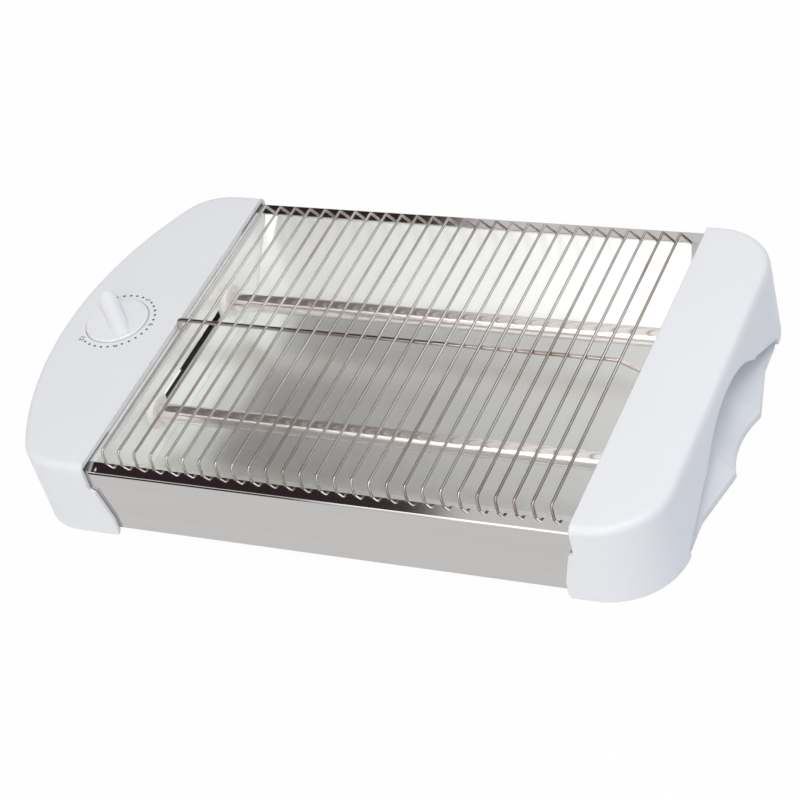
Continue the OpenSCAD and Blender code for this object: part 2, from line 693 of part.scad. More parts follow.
// Clockwork timer: drum, mounting strip and two blade terminals
module timer_body() color([0.55, 0.55, 0.56]) on_feet() at_dial() {
    zs = dial_pad_z - strip_t;
    zd = zs - drum_h;
    difference() {
        union() {
            translate([0, 0, zd]) cylinder(h = drum_h, d = 42);
            translate([-9, -timer_screw_y - 6, zs]) cube([18, 2 * timer_screw_y + 12, strip_t]);
            translate([0, 0, zs]) cylinder(h = strip_t + 1.5, d = shaft_d + 3.4);
        }
        translate([0, 0, zd + 6]) cylinder(h = drum_h + 20, d = shaft_d + 2 * fit);
        both_sides() translate([0, timer_screw_y, zs - 3]) cylinder(h = 10, d = screw_d + 2 * fit);
        difference() {
            translate([0, 0, zd - past]) cylinder(h = 2.5 + past, d = 60);
            translate([0, 0, zd - 2 * past]) cylinder(h = 10, d = 36);
        }
    }
    for (y = [-9, 9]) translate([15, y - 3.15, zd + 8]) cube([13, 6.3, 0.8]);
}

module timer_shaft() color([0.75, 0.75, 0.76]) on_feet() at_dial() difference() {
    zd = dial_pad_z - strip_t - drum_h + 6.2;
    translate([0, 0, zd]) cylinder(h = z_top + shaft_out - zd, d = shaft_d);
    // flat that drives the knob
    rotate(zero_angle) translate([shaft_d / 2 - 1.2, -shaft_d, z_top + 0.2]) cube([shaft_d, 2 * shaft_d, 10]);
}

// Section across the knob's fin, flared where it meets the disc
module fin_section(z, h, flare) {
    side = concat([[fin_w / 2 + flare, z]],
        [for (a = [260 : -20 : 180]) [fin_w / 2 + flare * (1 + cos(a)), z + flare * (1 + sin(a)) + 0.4]],
        [[fin_w / 2, z + h]]);
    polygon(concat(side, [for (k = [len(side) - 1 : -1 : 0]) [-side[k].x, side[k].y]]));
}

// Knob: base disc with a sloping finger fin, drawn with the high end along +X
module knob_form() {
    disc_z = z_top - dial_sink + 0.3;
    disc_h = 2.4;
    fin_half = knob_d / 2 - 1.8;
    fin_z = disc_z + disc_h - 0.4;     // the fin stands a little into the disc
    ridge_r = 0.55 * fin_w;
    flare_r = 2.8;
    fall_a = 15;
    difference() {
        union() {
            translate([0, 0, disc_z]) rotate_extrude()
                polygon([[0, 0], [knob_d / 2, 0], [knob_d / 2, disc_h - 0.8],
                    [knob_d / 2 - 0.8, disc_h], [0, disc_h]]);
            difference() {
                intersection() {
                    translate([0, 0, fin_z]) cylinder(h = fin_h + 4, r = fin_half);
                    translate([-knob_d, 0, 0]) rotate([90, 0, 90]) linear_extrude(2 * knob_d)
                        fin_section(fin_z, fin_h + 4, flare_r);
                }
                // everything outside the sloping round ridge
                translate([fin_half, 0, z_top + fin_h - ridge_r]) rotate([0, -fall_a, 0]) difference() {
                    translate([-60, -20, 0]) cube([80, 40, 40]);
                    translate([-70, 0, 0]) rotate([0, 90, 0]) cylinder(h = 100, r = ridge_r);
                }
            }
        }
        difference() {
            translate([0, 0, disc_z - past])
                cylinder(h = z_top + shaft_out + slip - disc_z + past, d = shaft_d + 2 * fit);
            translate([shaft_d / 2 - 1.2 + fit, -shaft_d, z_top + 0.4]) cube([shaft_d, 2 * shaft_d, 10]);
        }
    }
}

module timer_knob() color([0.93, 0.93, 0.94]) on_feet() at_dial() rotate(zero_angle) knob_form();

// Screw with a domed head, head below, standing on z = 0 under the head
module case_screw(len, d) {
    difference() {
        rotate_extrude() polygon([[0, -head_h], [0.32 * head_d, -head_h], [0.46 * head_d, -0.6 * head_h],
            [0.5 * head_d, 0], [d / 2, 0], [d / 2, len - d / 2], [0.15 * d, len], [0, len]]);
        for (a = [0, 90]) rotate(a) translate([-0.25 * head_d, -0.3, -head_h - past])
            cube([0.5 * head_d, 0.6, past + 0.6 * head_h]);
    }
}

module timer_screws() color([0.68, 0.68, 0.69]) on_feet() at_dial() both_sides()
    translate([0, timer_screw_y, z_top - dial_sink - head_h - slip]) mirror([0, 0, 1])
        case_screw(5, screw_d);

module base_screws() color([0.62, 0.62, 0.63]) on_feet() both_sides()
    for (p = concat(left_screws, right_screws)) translate([p.x, p.y, base_z + collar_h])
        case_screw(10, pilot_d - 2 * fit);

module cap_screws() color([0.62, 0.62, 0.63]) on_feet() both_sides()
    for (x = [xl - cap_screw_set, xr + cap_screw_set]) translate([x, cap_screw_y, pan_z])
        case_screw(9, pilot_d - 2 * fit);

module frame_screws() color([0.62, 0.62, 0.63]) on_feet() both_sides()
    for (x = [xl - frame_screw_set, xr + frame_screw_set]) translate([x, y_panel - panel_foot / 2, panel_z])
        case_screw(4, screw_d);

module feet() color([0.16, 0.16, 0.17]) on_feet() both_sides() for (p = [left_feet, right_feet])
    translate([p.x, p.y, 0]) rotate_extrude()
        polygon([[0, -foot_out], [foot_d / 2 - 0.8, -foot_out], [foot_d / 2, -foot_out + 0.8],
            [foot_d / 2, base_z], [2.5, base_z], [2.5, base_top], [3.5, base_top], [2, base_top + 2.4],
            [0, base_top + 2.4]]);

// Terminal block on the floor of the timer cap
module terminal_block() color([0.86, 0.85, 0.82]) on_feet()
    translate([term_x, term_y, base_top]) difference() {
    translate([-9, -14, 0]) cube([18, 28, 13]);
    for (y = [-9, 0, 9]) {
        translate([0, y, 5]) cylinder(h = 10, d = 4.4);
        translate([-10, y, 4.5]) rotate([0, 90, 0]) cylinder(h = 20, d = 3.2);
    }
    for (y = [-4.5, 4.5]) translate([-10, y - 0.6, 8]) cube([20, 1.2, 10]);
}

// Insulated lead through a list of points
module lead(points) {
    lead_d = 2.6;
    for (k = [0 : len(points) - 2]) {
        v = points[k + 1] - points[k];
        span = norm(v);
        translate(points[k]) rotate([0, acos(v.z / span), atan2(v.y, v.x)])
            cylinder(h = span, d = lead_d, $fn = 20);
        if (k > 0) translate(points[k]) sphere(d = lead_d * 1.06, $fn = 20);
    }
}

module lead_wires() color([0.82, 0.80, 0.76]) on_feet() {
    pin_x = pl_in - neck_len - pin_out;
    lead_z = base_top + 4.5;
    blade_z = dial_pad_z - strip_t - drum_h + 8 - 1.5;
    rear_y = tube_y + tube_gap / 2;
    front_y = tube_y - tube_gap / 2;
    lead([[pin_x, rear_y, tube_z], [pin_x - 3, rear_y, tube_z], [pin_x - 7, rear_y, 20],
        [term_x + 14, term_y + 9, lead_z], [term_x + 3, term_y + 9, lead_z]]);
    lead([[pin_x, front_y, tube_z], [pin_x - 3, front_y, tube_z], [pin_x - 7, front_y, 20],
        [dial_x + 30, dial_y - 16, blade_z], [dial_x + 24, dial_y - 9, blade_z]]);
    lead([[dial_x + 24, dial_y + 9, blade_z], [dial_x + 27, dial_y + 16, blade_z],
        [term_x + 14, term_y - 9, lead_z], [term_x + 3, term_y - 9, lead_z]]);
}

// Ring that lines the hole where a mains lead would leave the case, put in from inside
module cord_gland() color([0.85, 0.85, 0.86]) on_feet() translate([gland_x, half - wall_t, gland_z])
    rotate([-90, 0, 0]) rotate_extrude()
        polygon([[gland_bore, -4], [gland_d / 2 + gland_lip - 0.8, -4], [gland_d / 2 + gland_lip, -3.2],
            [gland_d / 2 + gland_lip, 0], [gland_d / 2 - fit, 0], [gland_d / 2 - fit, wall_t - seat],
            [gland_bore + 0.6, wall_t - seat], [gland_bore, wall_t - seat - 0.6]]);

left_cap();
right_cap();
left_base();
right_base();
front_panel();
rear_panel();
bottom_plate();
reflector();
left_end_plate();
right_end_plate();
grid_wires();
cross_wire();
front_tube();
rear_tube();
front_coil();
rear_coil();
left_holders();
right_holders();
holder_rings();
jumper_bar();
timer_body();
timer_shaft();
timer_knob();
timer_screws();
terminal_block();
lead_wires();
cord_gland();
feet();
base_screws();
cap_screws();
frame_screws();
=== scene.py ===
import json
import math

import bmesh
import bpy
from mathutils import Matrix, Vector


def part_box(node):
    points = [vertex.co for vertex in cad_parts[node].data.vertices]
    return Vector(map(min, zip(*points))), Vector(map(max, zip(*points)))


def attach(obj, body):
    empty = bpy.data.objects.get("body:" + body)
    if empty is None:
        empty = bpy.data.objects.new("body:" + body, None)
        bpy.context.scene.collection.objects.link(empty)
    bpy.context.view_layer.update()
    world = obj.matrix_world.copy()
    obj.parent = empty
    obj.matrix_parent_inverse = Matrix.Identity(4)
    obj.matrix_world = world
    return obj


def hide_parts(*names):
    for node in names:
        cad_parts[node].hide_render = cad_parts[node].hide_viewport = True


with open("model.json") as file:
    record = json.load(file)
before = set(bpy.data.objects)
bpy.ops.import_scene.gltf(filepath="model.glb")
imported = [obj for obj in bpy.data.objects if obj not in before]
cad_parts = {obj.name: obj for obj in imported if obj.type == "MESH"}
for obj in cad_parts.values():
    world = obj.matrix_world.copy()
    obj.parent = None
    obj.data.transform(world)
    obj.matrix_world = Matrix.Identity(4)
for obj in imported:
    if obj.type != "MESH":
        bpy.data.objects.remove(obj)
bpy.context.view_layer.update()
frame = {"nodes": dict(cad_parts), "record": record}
nodes = frame["nodes"]
mm = 0.001


# a number on a shader socket; sums on it add Math nodes
class Level:
    def __init__(self, finish, socket):
        self.finish = finish
        self.socket = socket

    def work(self, operation, first, second):
        return self.finish.add("ShaderNodeMath", {"operation": operation}, {0: first, 1: second})

    def __add__(self, other):
        return self.work("ADD", self, other)

    def __radd__(self, other):
        return self.work("ADD", other, self)

    def __sub__(self, other):
        return self.work("SUBTRACT", self, other)

    def __rsub__(self, other):
        return self.work("SUBTRACT", other, self)

    def __mul__(self, other):
        return self.work("MULTIPLY", self, other)

    def __rmul__(self, other):
        return self.work("MULTIPLY", other, self)

    def between(self, low, high):          # 0 below low, 1 above high, smooth in the middle
        settings = {"interpolation_type": "SMOOTHSTEP"}
        return self.finish.add("ShaderNodeMapRange", settings,
                               {"Value": self, "From Min": low, "From Max": high})


# one node tree, for a material or for the world
class Finish:
    def __init__(self, owner):
        self.owner = owner
        owner.use_nodes = True
        self.tree = owner.node_tree
        self.tree.nodes.clear()

    def add(self, kind, settings=None, sockets=None, output=0):
        node = self.tree.nodes.new(kind)
        for key, value in (settings or {}).items():
            setattr(node, key, value)
        for key, value in (sockets or {}).items():
            if isinstance(value, Level):
                self.tree.links.new(value.socket, node.inputs[key])
            elif isinstance(value, tuple) and len(value) == 3 and node.inputs[key].type == "RGBA":
                node.inputs[key].default_value = (*value, 1)
            else:
                node.inputs[key].default_value = value
        return Level(self, node.outputs[output])

    def place(self, stretch=(1, 1, 1), turn=(0, 0, 0)):
        spot = self.add("ShaderNodeTexCoord", output="Object")
        return self.add("ShaderNodeMapping", {},
                        {"Vector": spot, "Scale": stretch, "Rotation": turn})

    def noise(self, spot, scale, detail=2.0, rough=0.5):
        return self.add("ShaderNodeTexNoise", {},
                        {"Vector": spot, "Scale": scale, "Detail": detail, "Roughness": rough})

    def colours(self, share, first, second):
        return self.add("ShaderNodeMix", {"data_type": "RGBA"}, {0: share, 6: first, 7: second}, 2)

    def bump(self, height, strength, deep, base=None):
        sockets = {"Height": height, "Strength": strength, "Distance": deep}
        if base:
            sockets["Normal"] = base
        return self.add("ShaderNodeBump", {}, sockets, "Normal")

    def surface(self, sockets):
        self.show(self.add("ShaderNodeBsdfPrincipled", {}, sockets))
        return self.owner

    def show(self, shader):
        end = self.tree.nodes.new("ShaderNodeOutputWorld" if isinstance(self.owner, bpy.types.World)
                                  else "ShaderNodeOutputMaterial")
        self.tree.links.new(shader.socket, end.inputs["Surface"])


def newFinish(name):
    return Finish(bpy.data.materials.new(name))


# fine marks shared by the finishes: noise scales, and how deep they are
fine = {"scuffs": 60, "haze": 14, "plateSpecks": 900, "quartzClouds": 40, "pores": 1500,
        "ironSpecks": 700, "inkWear": 1400, "grainDeep": 0.05 * mm, "linesDeep": 0.01 * mm,
        "specksDeep": 0.02 * mm, "bubblesDeep": 0.02 * mm, "poresDeep": 0.05 * mm,
        "braidDeep": 0.1 * mm, "inkDeep": 0.01 * mm}


# moulded plastic: a fine eroded grain, faint flow clouds and polish that wanders a little
def mouldedPlastic(name, look):
    f = newFinish(name)
    spot = f.place()
    clouds = f.noise(spot, look["clouds"], 3)
    grain = f.noise(spot, look["grain"], 2, 0.6)
    scuffs = f.noise(f.place((1, 3, 1)), fine["scuffs"], 4, 0.7).between(0.55, 0.8)
    rounded = f.add("ShaderNodeBevel", {"samples": 6}, {"Radius": look["edge"] * mm})
    return f.surface({
        "Base Color": f.colours(clouds.between(0.3, 0.7), look["shade"], look["tint"]),
        "Roughness": look["rough"] + 0.10 * (grain - 0.5) + 0.06 * scuffs,
        "Normal": f.bump(grain, look["bump"], fine["grainDeep"], rounded),
        "Specular IOR Level": 0.5,
    })


# rolled sheet: long faint rolling lines, with a breath of handling haze
def drawnSteel(name, look):
    f = newFinish(name)
    lines = f.noise(f.place(look["stretch"]), look["grain"], 3, 0.6)
    bands = f.noise(f.place(look["stretch"]), look["grain"] / 12, 2)
    haze = f.noise(f.place(), fine["haze"], 3).between(0.4, 0.8)
    mixed = 0.4 * lines + 0.6 * bands
    return f.surface({
        "Base Color": f.colours(mixed.between(0.25, 0.75), look["dark"], look["light"]),
        "Metallic": look["metal"],
        "Roughness": look["rough"] + look["spread"] * (mixed - 0.5) + look["haze"] * haze,
        "Normal": f.bump(lines, look["bump"], fine["linesDeep"]),
    })


# plated wire: bright, with straw and brown where the heat has reached it
def heatedChrome(name, look):
    f = newFinish(name)
    tints = f.noise(f.place((1, 0.35, 1)), look["patches"], 3).between(0.35, 0.68)
    specks = f.noise(f.place(), fine["plateSpecks"], 2)
    return f.surface({
        "Base Color": f.colours(tints, look["bright"], look["brown"]),
        "Metallic": 1.0,
        "Roughness": look["rough"] + 0.18 * tints * specks,
        "Normal": f.bump(specks, 0.05, fine["specksDeep"]),
    })


# milky quartz: drawn along its length, so the fine bubbles lie in long lines
def milkyQuartz(name, look):
    f = newFinish(name)
    bubbles = f.noise(f.place((0.05, 1, 1)), look["bubbles"], 3, 0.7)
    clouds = f.noise(f.place((0.4, 1, 1)), fine["quartzClouds"], 2)
    milk = (0.5 * bubbles + 0.5 * clouds).between(0.3, 0.7)
    return f.surface({
        "Base Color": f.colours(milk, look["shade"], look["tint"]),
        "Metallic": look["sheen"],
        "Roughness": look["rough"] + 0.08 * (bubbles - 0.5),
        "Coat Weight": 0.5 + 0.3 * clouds,
        "Coat Roughness": look["coatRough"],
        "Normal": f.bump(bubbles, 0.05, fine["bubblesDeep"]),
    })


# pressed ceramic: chalky, with pores and a few iron specks
def pressedCeramic(name, look):
    f = newFinish(name)
    pores = f.noise(f.place(), fine["pores"], 3, 0.7)
    specks = f.noise(f.place(), fine["ironSpecks"], 1).between(0.66, 0.74)
    clay = f.colours(pores.between(0.3, 0.7), look["shade"], look["tint"])
    return f.surface({
        "Base Color": f.colours(0.6 * specks, clay, look["speck"]),
        "Roughness": look["rough"] + 0.2 * (pores - 0.5),
        "Normal": f.bump(pores, 0.3, fine["poresDeep"]),
    })


# woven sleeve: two crossed waves make the braid
def wovenSleeve(name, look):
    f = newFinish(name)
    strands = []
    for turn in (0.0, math.pi / 2):
        spot = f.place(turn=(turn, 0, turn))
        strands.append(f.add("ShaderNodeTexWave", {"bands_direction": "DIAGONAL"},
                             {"Vector": spot, "Scale": look["weave"], "Distortion": 0.4}, "Fac"))
    braid = 0.5 * strands[0] + 0.5 * strands[1]
    return f.surface({
        "Base Color": f.colours(braid, look["shade"], look["tint"]),
        "Roughness": 0.75 + 0.15 * braid,
        "Normal": f.bump(braid, 0.4, fine["braidDeep"]),
    })


# ink of the dial print, worn thin in places
def padInk(name, look):
    f = newFinish(name)
    wear = f.noise(f.place(), fine["inkWear"], 3, 0.7).between(0.35, 0.75)
    return f.surface({
        "Base Color": f.colours(wear, look["ink"], look["thin"]),
        "Roughness": 0.45 + 0.2 * wear,
        "Normal": f.bump(wear, 0.1, fine["inkDeep"]),
    })


finishes = {
    "white_plastic": mouldedPlastic("whiteCapPlastic", {
        "tint": (0.83, 0.832, 0.84), "shade": (0.815, 0.817, 0.826), "clouds": 11, "grain": 1500,
        "rough": 0.42, "bump": 0.10, "edge": 0.8}),
    "base_plastic": mouldedPlastic("whiteBasePlastic", {
        "tint": (0.66, 0.665, 0.68), "shade": (0.62, 0.625, 0.64), "clouds": 15, "grain": 1100,
        "rough": 0.55, "bump": 0.22, "edge": 0.5}),
    "knob_plastic": mouldedPlastic("whiteKnobPlastic", {
        "tint": (0.86, 0.861, 0.868), "shade": (0.845, 0.846, 0.853), "clouds": 30, "grain": 2000,
        "rough": 0.30, "bump": 0.05, "edge": 0.6}),
    "timer_case": mouldedPlastic("greyTimerCase", {
        "tint": (0.26, 0.26, 0.27), "shade": (0.21, 0.21, 0.22), "clouds": 40, "grain": 1600,
        "rough": 0.5, "bump": 0.2, "edge": 0.3}),
    "block_plastic": mouldedPlastic("creamBlockPlastic", {
        "tint": (0.72, 0.70, 0.64), "shade": (0.66, 0.64, 0.58), "clouds": 40, "grain": 1600,
        "rough": 0.5, "bump": 0.2, "edge": 0.3}),
    "rubber": mouldedPlastic("greyFootRubber", {
        "tint": (0.035, 0.035, 0.037), "shade": (0.025, 0.025, 0.027), "clouds": 60, "grain": 900,
        "rough": 0.75, "bump": 0.35, "edge": 0.5}),
    "panel_steel": drawnSteel("satinPanelSteel", {
        "light": (0.535, 0.52, 0.51), "dark": (0.51, 0.497, 0.487), "stretch": (0.01, 1, 1),
        "grain": 1500, "rough": 0.07, "spread": 0.03, "haze": 0.02, "bump": 0.01, "metal": 1.0}),
    "bright_steel": drawnSteel("brightReflectorSteel", {
        "light": (0.86, 0.875, 0.86), "dark": (0.835, 0.85, 0.835), "stretch": (0.02, 1, 1),
        "grain": 500, "rough": 0.31, "spread": 0.04, "haze": 0.05, "bump": 0.004, "metal": 1.0}),
    "zinc_steel": drawnSteel("zincScrewSteel", {
        "light": (0.56, 0.56, 0.57), "dark": (0.44, 0.44, 0.45), "stretch": (1, 1, 0.2),
        "grain": 1500, "rough": 0.32, "spread": 0.2, "haze": 0.08, "bump": 0.1, "metal": 1.0}),
    "heater_alloy": drawnSteel("dullHeaterWire", {
        "light": (0.30, 0.28, 0.26), "dark": (0.20, 0.185, 0.17), "stretch": (1, 1, 1),
        "grain": 1500, "rough": 0.5, "spread": 0.2, "haze": 0.08, "bump": 0.15, "metal": 1.0}),
    "grid_chrome": heatedChrome("heatedGridChrome", {
        "bright": (0.50, 0.47, 0.453), "brown": (0.32, 0.26, 0.235), "patches": 34, "rough": 0.07}),
    "quartz": milkyQuartz("milkyQuartzTube", {
        "tint": (0.84, 0.795, 0.77), "shade": (0.77, 0.72, 0.695), "bubbles": 1600, "rough": 0.16,
        "sheen": 0.84, "coatRough": 0.12}),
    "ceramic": pressedCeramic("creamHolderCeramic", {
        "tint": (0.97, 0.935, 0.87), "shade": (0.93, 0.89, 0.82), "speck": (0.58, 0.50, 0.42),
        "rough": 0.62}),
    "lead_sleeve": wovenSleeve("wovenLeadSleeve", {
        "tint": (0.66, 0.63, 0.56), "shade": (0.50, 0.47, 0.41), "weave": 420}),
}
paleEndSteel = drawnSteel("paleEndSteel", {
    "light": (0.885, 0.90, 0.87), "dark": (0.855, 0.87, 0.84), "stretch": (1, 1, 0.02),
    "grain": 500, "rough": 0.36, "spread": 0.04, "haze": 0.05, "bump": 0.004, "metal": 0.5})
dialInk = padInk("greyDialInk", {"ink": (0.022, 0.022, 0.026), "thin": (0.06, 0.06, 0.065)})
print("finishes made:", len(finishes) + 2)

slotOf = {part["node"]: part["material_slot"] for part in frame["record"]["subparts"]}
bodies = frame["record"]["behaviour"]["bodies"]
bodyOf = {node: body for body, names in bodies.items() for node in names}

for name, node in nodes.items():
    node.data.materials.clear()
    node.data.materials.append(finishes[slotOf[name]])


def linked(name, content):
    piece = bpy.data.objects.new(name, content)
    bpy.context.scene.collection.objects.link(piece)
    return piece


def baked(piece):                           # modifiers become plain mesh
    seen = piece.evaluated_get(bpy.context.evaluated_depsgraph_get())
    mesh = bpy.data.meshes.new_from_object(seen)
    piece.modifiers.clear()
    piece.data = mesh
    return piece


# bread wires, on their ledges, in millimetres
wires = {"count": 27, "pitch": 9.5, "thick": 1.5, "sides": 14, "bend": 2.2, "kneeBend": 0.9,
         "bendSteps": 7, "firstX": -113.3, "frontY": -104.4, "apexY": 98.7, "rearY": 102.7,
         "topZ": 53.4, "ledgeZ": 44.9, "leanX": 2.7, "tail": 2.2}

# the front ledge falls a little towards its fold; the sheets close up round the rear legs
sheets = {"fold": 1.5, "fall": 1.3, "curve": 1.3, "cuts": 7, "onCut": 1e-7, "hole": 0.86,
          "reach": 1.7, "deep": 3.2, "weld": 0.35}


def fallingLedge(form, cut):
    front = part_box("front_panel")[0][1] / mm + sheets["fold"]
    wide = wires["frontY"] - front
    for k in range(1, sheets["cuts"] if cut else 1):
        whole = form.verts[:] + form.edges[:] + form.faces[:]
        at = (wires["frontY"] - wide * k / sheets["cuts"]) * mm
        bmesh.ops.bisect_plane(form, geom=whole, dist=sheets["onCut"], plane_co=(0, at, 0),
                               plane_no=(0, 1, 0))
    for v in form.verts:
        share = (wires["frontY"] - v.co.y / mm) / wide
        if share > 0 and v.co.z / mm > wires["ledgeZ"] - sheets["deep"]:
            past = max(share - 1, 0)        # beyond the fold the fall goes on straight
            lower = min(share, 1) ** sheets["curve"] + sheets["curve"] * past
            v.co.z -= sheets["fall"] * lower * mm


def closedHoles(form):
    drop = wires["topZ"] - wires["ledgeZ"]
    lean = Vector((wires["leanX"], wires["rearY"] - wires["apexY"], 0))
    firstHole = wires["firstX"] + wires["leanX"]
    for v in form.verts:
        under = (wires["ledgeZ"] - v.co.z / mm) / drop
        number = round((v.co.x / mm - firstHole) / wires["pitch"])
        hole = Vector((firstHole + number * wires["pitch"], wires["rearY"], 0))
        out = Vector((v.co.x / mm - hole.x, v.co.y / mm - hole.y, 0))
        near = under * drop < sheets["deep"] and out.length < sheets["reach"]
        if near and 0 <= number < wires["count"]:
            leg = hole + under * lean
            spot = (leg + sheets["hole"] * out.normalized()) * mm
            v.co.x, v.co.y = spot.x, spot.y


# a node's own form, joined up and shaded so that its bends and round edges read as round
softForms = {"seam": 0.002 * mm, "crease": math.radians(32)}
smoothed = {
    "left_cap": "timerCapShell", "right_cap": "gripCapShell", "timer_knob": "timerKnobForm",
    "front_panel": "frontPanelSheet", "rear_panel": "rearPanelSheet", "reflector": "reflectorSheet",
    "left_end_plate": "leftEndSheet", "right_end_plate": "rightEndSheet",
    "front_tube": "frontTubeGlass", "rear_tube": "rearTubeGlass",
    "left_holders": "leftHolderCeramic", "right_holders": "rightHolderCeramic",
    "left_base": "timerBaseCover", "right_base": "gripBaseCover", "bottom_plate": "bottomSheet",
    "cross_wire": "crossWireRod", "feet": "rubberFeet", "base_screws": "baseScrewHeads",
    "cap_screws": "capScrewHeads", "frame_screws": "frameScrewHeads",
    "timer_shaft": "timerShaftRod", "cord_gland": "cordGlandRing",
    "timer_body": "timerClockwork", "lead_wires": "insulatedLeads",
}
for name, pieceName in smoothed.items():
    form = bmesh.new()
    form.from_mesh(nodes[name].data)
    bmesh.ops.remove_doubles(form, verts=form.verts, dist=softForms["seam"])
    if name in ("front_panel", "reflector"):
        fallingLedge(form, name == "front_panel")
    if name in ("rear_panel", "reflector"):
        closedHoles(form)
    if name == "cross_wire":                # swells where it is welded under the grid
        form.normal_update()
        for v in form.verts:
            v.co += sheets["weld"] * mm * v.normal
    for face in form.faces:
        face.smooth = True
    for edge in form.edges:
        edge.smooth = edge.is_manifold and edge.calc_face_angle() < softForms["crease"]
    mesh = bpy.data.meshes.new(pieceName)
    form.to_mesh(mesh)
    form.free()
    mesh.materials.append(paleEndSteel if name.endswith("end_plate") else finishes[slotOf[name]])
    piece = linked(pieceName, mesh)
    even = piece.modifiers.new("evenNormals", "WEIGHTED_NORMAL")
    even.keep_sharp = True
    baked(piece)
    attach(piece, bodyOf[name])
    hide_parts(name)
print("smooth forms made:", len(smoothed))


# geometry trees: inputs by name, nodes by type
class Tree:
    def __init__(self, name):
        self.group = bpy.data.node_groups.new(name, "GeometryNodeTree")
        for way in ("INPUT", "OUTPUT"):
            self.group.interface.new_socket("Geometry", in_out=way,
                                            socket_type="NodeSocketGeometry")
        self.start = self.group.nodes.new("NodeGroupInput")
        self.end = self.group.nodes.new("NodeGroupOutput")
        self.names = {}

    def size(self, name, value):
        kind = "NodeSocketInt" if isinstance(value, int) else "NodeSocketFloat"
        socket = self.group.interface.new_socket(name, in_out="INPUT", socket_type=kind)
        socket.default_value = value
        self.names[name] = (socket.identifier, value)
        return self.start.outputs[name]

    def add(self, kind, settings=None, sockets=None, output=0):
        node = self.group.nodes.new(kind)
        for key, value in (settings or {}).items():
            setattr(node, key, value)
        for key, value in (sockets or {}).items():
            if isinstance(value, bpy.types.NodeSocket):
                self.group.links.new(value, node.inputs[key])
            else:
                node.inputs[key].default_value = value
        return node.outputs[output]

    def finish(self, geometry, material):
        solid = self.add("GeometryNodeRealizeInstances", {}, {"Geometry": geometry})
        dressed = self.add("GeometryNodeSetMaterial", {}, {"Geometry": solid, "Material": material})
        self.group.links.new(dressed, self.end.inputs[0])

    def grow(self, piece):
        work = piece.modifiers.new(self.group.name, "NODES")
        work.node_group = self.group
        for identifier, value in self.names.values():
            work[identifier] = value
        baked(piece)
        piece.data.name = piece.name
        return piece


# one bent path, swept with a round section and repeated along the grid
def wirePath():
    drop = wires["topZ"] - wires["ledgeZ"]
    reach = (drop + wires["tail"]) / drop
    rearFoot = wires["apexY"] + (wires["rearY"] - wires["apexY"]) * reach
    corners = [(0, wires["frontY"], wires["ledgeZ"] - wires["tail"]),
               (0, wires["frontY"], wires["topZ"]),
               (0, wires["apexY"], wires["topZ"]),
               (wires["leanX"] * reach, rearFoot, wires["topZ"] - drop * reach)]
    mesh = bpy.data.meshes.new("breadWirePath")
    mesh.from_pydata([Vector(c) * mm for c in corners], [(0, 1), (1, 2), (2, 3)], [])
    return mesh


grid = Tree("breadGrid")
count = grid.size("Wire Count", wires["count"])
pitch = grid.size("Wire Pitch", wires["pitch"] * mm)
thick = grid.size("Wire Radius", wires["thick"] / 2 * mm)
bend = grid.size("Front Bend Radius", wires["bend"] * mm)
knee = grid.size("Rear Bend Radius", wires["kneeBend"] * mm)
firstX = grid.size("First Wire", wires["firstX"] * mm)
path = grid.add("GeometryNodeMeshToCurve", {}, {"Mesh": grid.start.outputs["Geometry"]})
corner = grid.add("GeometryNodeInputIndex")
atRear = grid.add("ShaderNodeMath", {"operation": "GREATER_THAN"}, {0: corner, 1: 1.5})
tighter = grid.add("ShaderNodeMath", {"operation": "SUBTRACT"}, {0: knee, 1: bend})
radius = grid.add("ShaderNodeMath", {"operation": "MULTIPLY_ADD"}, {0: atRear, 1: tighter, 2: bend})
bent = grid.add("GeometryNodeFilletCurve", {"mode": "POLY"},
                {"Curve": path, "Count": wires["bendSteps"], "Radius": radius})
section = grid.add("GeometryNodeCurvePrimitiveCircle", {},
                   {"Resolution": wires["sides"], "Radius": thick})
rod = grid.add("GeometryNodeCurveToMesh", {},
               {"Curve": bent, "Profile Curve": section, "Fill Caps": True})
smooth = grid.add("GeometryNodeSetShadeSmooth", {}, {"Geometry": rod})
step = grid.add("ShaderNodeCombineXYZ", {}, {"X": pitch})
origin = grid.add("ShaderNodeCombineXYZ", {}, {"X": firstX})
row = grid.add("GeometryNodeMeshLine", {"mode": "OFFSET"},
               {"Count": count, "Start Location": origin, "Offset": step})
repeated = grid.add("GeometryNodeInstanceOnPoints", {}, {"Points": row, "Instance": smooth})
grid.finish(repeated, finishes["grid_chrome"])
breadWires = grid.grow(linked("breadWires", wirePath()))
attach(breadWires, "case")
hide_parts("grid_wires")
print("bread wires:", len(breadWires.data.polygons), "faces")


# dial print: minute figures with dots between them, on the cap's top, in millimetres
dial = {"x": -160.1, "y": -2.0, "topZ": 48.7, "ring": 21.5, "figures": ["0", "3", "6", "9", "12"],
        "firstAngle": 129.0, "lastAngle": -131.0, "dots": 5, "dotRadius": 0.72, "dotSides": 14,
        "figureSize": 4.0, "stroke": 0.05, "film": 0.03}

